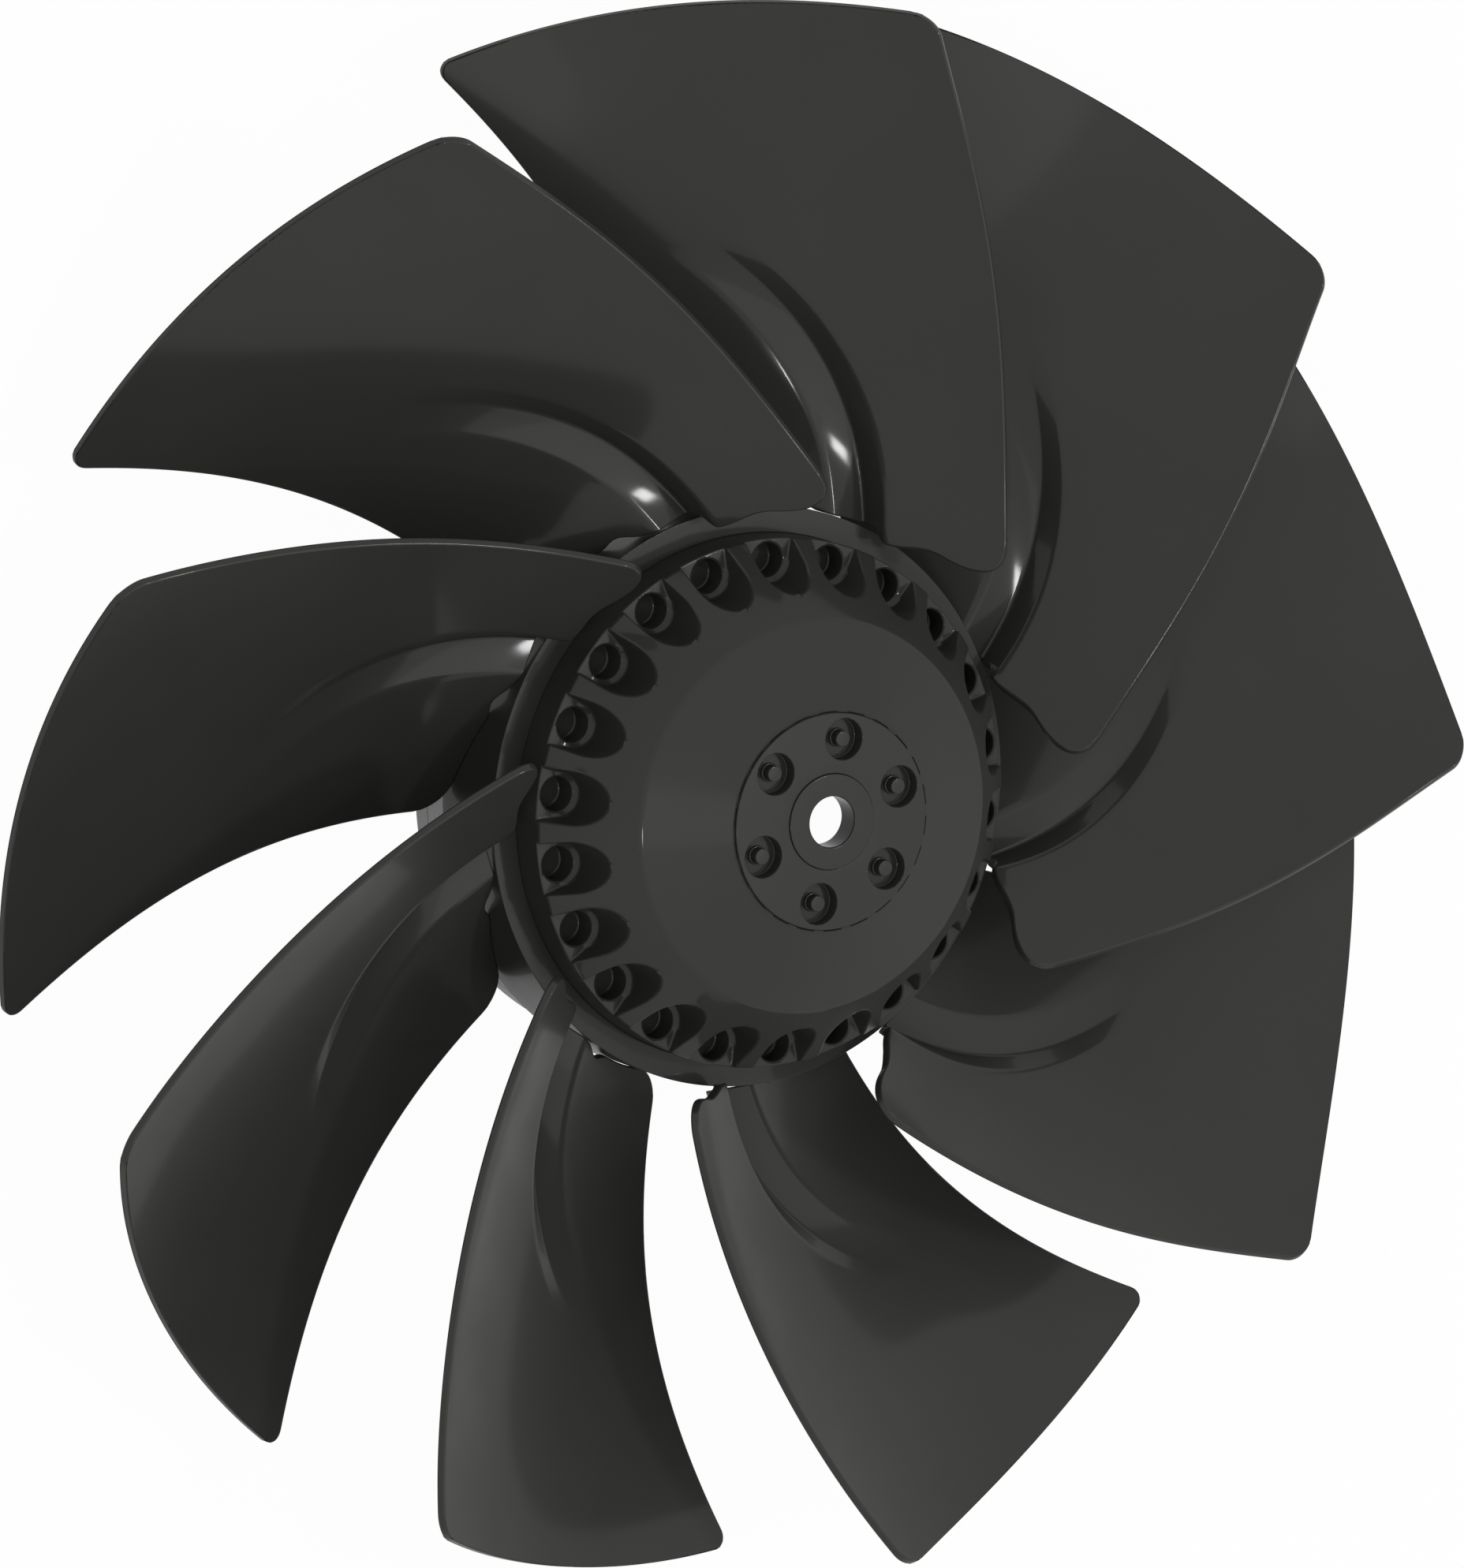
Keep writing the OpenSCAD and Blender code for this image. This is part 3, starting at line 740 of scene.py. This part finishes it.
def feed(tree, node, values):
    """Gives a node's inputs, by name or number, a link from another socket or a value."""
    for name, given in values.items():
        if isinstance(given, bpy.types.NodeSocket):
            tree.links.new(given, node.inputs[name])
        else:
            node.inputs[name].default_value = given


NOISE_LOW, NOISE_HIGH = 0.3, 0.7


def spread(tree, value, low, high):
    """Moves a noise value from its middle range to low and high."""
    node = add(tree, "ShaderNodeMapRange")
    feed(tree, node, {"From Min": NOISE_LOW, "From Max": NOISE_HIGH, "To Min": low,
                      "To Max": high, "Value": value})
    return node.outputs["Result"]


def mixed(tree, kind, share, low, high):
    """Low where the share is 0 and high where it is 1, for colours or plain numbers."""
    node = add(tree, "ShaderNodeMix", data_type=kind)
    feed(tree, node, {"Factor": share, "A": low, "B": high})
    return node.outputs["Result"]


CLOUD_SCALE, GLOSS_SCALE, PEEL_SCALE = 14, 40, 900


def baked_coat():
    """Colour, gloss and height of a baked black coat: broad clouds and a fine orange peel."""
    group = new_group("baked_coat",
                      [("Dark", "NodeSocketColor", (0.05, 0.05, 0.05, 1)),
                       ("Light", "NodeSocketColor", (0.06, 0.06, 0.06, 1)),
                       ("Roughness Low", "NodeSocketFloat", 0.4),
                       ("Roughness High", "NodeSocketFloat", 0.5)],
                      [("Color", "NodeSocketColor"), ("Roughness", "NodeSocketFloat"),
                       ("Height", "NodeSocketFloat")])
    given = add(group, "NodeGroupInput")
    out = add(group, "NodeGroupOutput")
    where = add(group, "ShaderNodeTexCoord").outputs["Object"]
    clouds = spread(group, noise(group, where, CLOUD_SCALE, 3), 0.0, 1.0)
    color = mixed(group, "RGBA", clouds, given.outputs["Dark"], given.outputs["Light"])
    gloss = spread(group, noise(group, where, GLOSS_SCALE, 4),
                   given.outputs["Roughness Low"], given.outputs["Roughness High"])
    feed(group, out, {"Color": color, "Roughness": gloss,
                      "Height": noise(group, where, PEEL_SCALE, 2)})
    return group


COAT = baked_coat()

# %% [markdown]
# Most of the coat's look is its plain colour. Under it there is hardly any gloss, and a thin
# clear layer on top is sharp and strong enough for white glints on beads and edges, but too
# thin to show the lamps on a flat face. These numbers are the same all over a surface, so they
# are set on the shader's own sockets.

# %% The coated materials
CLEAR_LAYER = {"Specular IOR Level": 0.08, "Coat Weight": 0.07, "Coat Roughness": 0.1,
               "Coat IOR": 2.6}
PEEL, PEEL_HEIGHT = 0.02, 0.1 * MM


def coated(name, dark, light, rough_low, rough_high):
    """A coated metal: the group's colour, gloss and peel on a plain surface shader."""
    material = bpy.data.materials.new(name)
    material.use_nodes = True
    tree = material.node_tree
    coat = add(tree, "ShaderNodeGroup", node_tree=COAT)
    feed(tree, coat, {"Dark": (*dark, 1), "Light": (*light, 1), "Roughness Low": rough_low,
                      "Roughness High": rough_high})
    bump = add(tree, "ShaderNodeBump")
    feed(tree, bump, {"Strength": PEEL, "Distance": PEEL_HEIGHT,
                      "Height": coat.outputs["Height"]})
    feed(tree, tree.nodes["Principled BSDF"],
         {"Normal": bump.outputs["Normal"], "Base Color": coat.outputs["Color"],
          "Roughness": coat.outputs["Roughness"], **CLEAR_LAYER})
    return material


DARK_BLACK, SHEET_BLACK = (0.027, 0.027, 0.0245), (0.031, 0.031, 0.028)
CASTING_BLACK = (0.032, 0.032, 0.029)
black_sheet = coated("black_sheet", DARK_BLACK, SHEET_BLACK, 0.34, 0.42)
black_casting = coated("black_casting", DARK_BLACK, CASTING_BLACK, 0.34, 0.44)
collar_grey = coated("collar_grey", (0.40, 0.40, 0.41), (0.47, 0.47, 0.48), 0.45, 0.55)
print("coated:", black_sheet.name, black_casting.name, collar_grey.name)

# %% [markdown]
# The bush is blacked with the disc, and then its bore is ground bright for the shaft. One
# material does both: the distance from the shaft's middle line tells the bare steel from the
# coat, and fine rings from the tool run round the bore. The bare steel's colour is darkened
# almost to black, as painted shade for the dark reflections deep in the bore.

# %% The ground bore
ACROSS, TOOL_MARKS = (1, 1, 0), (20, 20, 4000)
# The steel's colours are nearly black: painted shade for the dark reflections in the bore.
SHADED_STEEL = {"Base Color": ("RGBA", (0.002, 0.002, 0.002, 1), (0.03, 0.03, 0.029, 1)),
         "Roughness": ("FLOAT", 0.2, 0.35)}
BARE_R = BORE_R + 0.25 * MM


def scaled(tree, where, factors):
    """Coordinates times a factor of their own in x, y and z."""
    node = add(tree, "ShaderNodeVectorMath", operation="MULTIPLY")
    node.inputs[1].default_value = factors
    tree.links.new(where, node.inputs[0])
    return node.outputs["Vector"]


def ground_bore(material, bare_r):
    """Turns a coated material into bare steel where it is nearer to the shaft than bare_r."""
    tree = material.node_tree
    shader = tree.nodes["Principled BSDF"]
    where = add(tree, "ShaderNodeTexCoord").outputs["Object"]
    length = add(tree, "ShaderNodeVectorMath", operation="LENGTH")
    tree.links.new(scaled(tree, where, ACROSS), length.inputs[0])
    bare = add(tree, "ShaderNodeMath", operation="LESS_THAN")
    bare.inputs[1].default_value = bare_r
    tree.links.new(length.outputs["Value"], bare.inputs[0])
    rings = noise(tree, scaled(tree, where, TOOL_MARKS), 1, 2)
    for socket, (kind, low, high) in SHADED_STEEL.items():
        coat = shader.inputs[socket].links[0].from_socket
        steel = mixed(tree, kind, rings, low, high)
        tree.links.new(mixed(tree, kind, bare.outputs[0], coat, steel), shader.inputs[socket])
    tree.links.new(bare.outputs[0], shader.inputs["Metallic"])
    return material


bush_black = ground_bore(coated("bush_black", DARK_BLACK, CASTING_BLACK, 0.34, 0.44), BARE_R)
print(f"bare steel out to {BARE_R / MM:.2f} mm from the shaft's middle line")


# %% Every piece gets its finish
FINISHES = [(black_sheet, [*blade_skins, ring_skin]),
            (black_casting, [rotor_skin, disc_skin, rivet_skin]),
            (bush_black, [bush_skin]), (collar_grey, [collar_skin])]


def dress(piece, material):
    """Gives a piece one material."""
    piece.data.materials.clear()
    piece.data.materials.append(material)


for finish, skins in FINISHES:
    for skin in skins:
        dress(skin, finish)
    print(f"{finish.name}: {len(skins)} pieces")

# %% [markdown]
# The studio is plain: a pale floor, a few soft lamps and a white world. The floor and the
# world look white to the camera and in glossy reflections, and light the object only a little.

# %% The floor
WHITE_RAYS = ("Is Camera Ray", "Is Glossy Ray", "Is Transmission Ray")
FLOOR_HALF = 4.0
FLOOR_GREY, FLOOR_ROUGHNESS = (0.8, 0.8, 0.8, 1), 0.9
FLOOR_WHITE = 0.97


def white_to_camera(tree):
    """1 for rays from the camera, mirrors and glass, 0 for the rest."""
    rays = add(tree, "ShaderNodeLightPath")
    total = rays.outputs[WHITE_RAYS[0]]
    for name in WHITE_RAYS[1:]:
        join = add(tree, "ShaderNodeMath", operation="MAXIMUM")
        feed(tree, join, {0: total, 1: rays.outputs[name]})
        total = join.outputs[0]
    return total


def pale_floor():
    """A wide floor under the object, white to the camera with a faint shadow."""
    size = FLOOR_HALF
    corners = [(-size, -size, 0), (size, -size, 0), (size, size, 0), (-size, size, 0)]
    floor = make_mesh("floor", corners, [(0, 1, 2, 3)])
    material = bpy.data.materials.new("pale_floor")
    material.use_nodes = True
    tree = material.node_tree
    shader = tree.nodes["Principled BSDF"]
    feed(tree, shader, {"Base Color": FLOOR_GREY, "Roughness": FLOOR_ROUGHNESS})
    glow = add(tree, "ShaderNodeEmission")
    share = add(tree, "ShaderNodeMath", operation="MULTIPLY")
    feed(tree, share, {0: white_to_camera(tree), 1: FLOOR_WHITE})
    mix = add(tree, "ShaderNodeMixShader")
    feed(tree, mix, {"Fac": share.outputs[0], 1: shader.outputs[0], 2: glow.outputs[0]})
    tree.links.new(mix.outputs[0], tree.nodes["Material Output"].inputs["Surface"])
    dress(floor, material)
    print(f"floor: {2 * size:.0f} m wide, {FLOOR_WHITE:.0%} white to the camera")


pale_floor()

# %% The world
WORLD_LIGHT = 0.48


def studio_world():
    """A world that is white to the camera and a soft even light for everything else."""
    world = bpy.data.worlds.new("studio")
    bpy.context.scene.world = world
    world.use_nodes = True
    tree = world.node_tree
    strength = add(tree, "ShaderNodeMapRange")
    feed(tree, strength, {"Value": white_to_camera(tree), "To Min": WORLD_LIGHT,
                          "To Max": 1.0})
    feed(tree, tree.nodes["Background"],
         {"Color": (1, 1, 1, 1), "Strength": strength.outputs["Result"]})


studio_world()
print("the world lights the object at a strength of", WORLD_LIGHT)

# %% [markdown]
# The camera stands far off with a long lens, as in a catalogue picture, and looks down on the
# front of the hub. It is given by its place and by two of its axes in the frame.

# %% The camera
CAMERA_PLACE = Vector((-1.5379, 0.4829, 2.6729))
CAMERA_RIGHT = Vector((0.86295, 0.03207, 0.50428))
CAMERA_BACK = Vector((-0.50278, 0.15405, 0.85058))
PICTURE_W, PICTURE_H = 1856, 1988
FOCAL_PIXELS = 12428.3
CENTRE_X, CENTRE_Y = 977.6, 971.35
FAR_CLIP = 50


def picture_camera():
    """A camera from its axes, its focal length in pixels and its optical centre."""
    data = bpy.data.cameras.new("camera")
    data.sensor_fit = "HORIZONTAL"
    data.lens = FOCAL_PIXELS / PICTURE_W * data.sensor_width
    data.shift_x = (PICTURE_W / 2 - CENTRE_X) / PICTURE_W
    data.shift_y = (CENTRE_Y - PICTURE_H / 2) / PICTURE_W
    data.clip_end = FAR_CLIP
    camera = bpy.data.objects.new("camera", data)
    bpy.context.scene.collection.objects.link(camera)
    back = CAMERA_BACK.normalized()
    right = (CAMERA_RIGHT - back * CAMERA_RIGHT.dot(back)).normalized()
    up = back.cross(right)
    turn = Matrix((right, up, back)).transposed().to_4x4()
    camera.matrix_world = Matrix.Translation(CAMERA_PLACE) @ turn
    bpy.context.scene.camera = camera
    return camera


camera = picture_camera()
print("lens in millimetres:", round(camera.data.lens, 1))

# %% [markdown]
# A satin black object shows its lamps twice: as light on its colour and as reflections in its
# gloss. Three soft lamps light the colour and stay out of the gloss, or each would leave a
# bright patch on a flat face. One small lamp draws the streaks on the beads, a smaller one the
# line on the dome's edge, and a wide one overhead gives the gloss an even sheen.

# %% The lamps
LAMP_DISTANCE = 3.0
PLAIN_LIGHT, COOL_LIGHT = (1, 1, 1), (0.96, 0.93, 1)
# Name, direction, strength in watts, width in metres, colour, and whether the gloss shows it.
LAMPS = [("front_lamp", (-0.10, 0.46, 0.88), 7, 0.5, PLAIN_LIGHT, False),
         ("left_lamp", (-0.64, 0.02, 0.77), 10.5, 0.9, PLAIN_LIGHT, False),
         ("cool_lamp", (0.72, -0.60, 0.34), 12, 1.6, COOL_LIGHT, False),
         ("glint_lamp", (0.42, 0.07, 0.905), 12, 0.25, PLAIN_LIGHT, True),
         ("edge_lamp", (-0.42, -0.20, 0.89), 4, 0.12, PLAIN_LIGHT, True),
         ("overhead_lamp", (0.12, -0.12, 0.985), 7.5, 1.9, PLAIN_LIGHT, True)]


def lamp(name, towards, strength, size, colour, in_gloss):
    """A square lamp that stands in the given direction and looks at the object."""
    data = bpy.data.lights.new(name, "AREA")
    data.energy = strength
    data.size = size
    data.color = colour
    light = bpy.data.objects.new(name, data)
    bpy.context.scene.collection.objects.link(light)
    direction = Vector(towards).normalized()
    light.matrix_world = (Matrix.Translation(direction * LAMP_DISTANCE)
                          @ direction.to_track_quat("Z", "Y").to_matrix().to_4x4())
    light.visible_glossy = in_gloss
    print(f"{name}: {strength} W, {size} m wide")


for settings in LAMPS:
    lamp(*settings)
bpy.context.scene.view_settings.view_transform = "Standard"
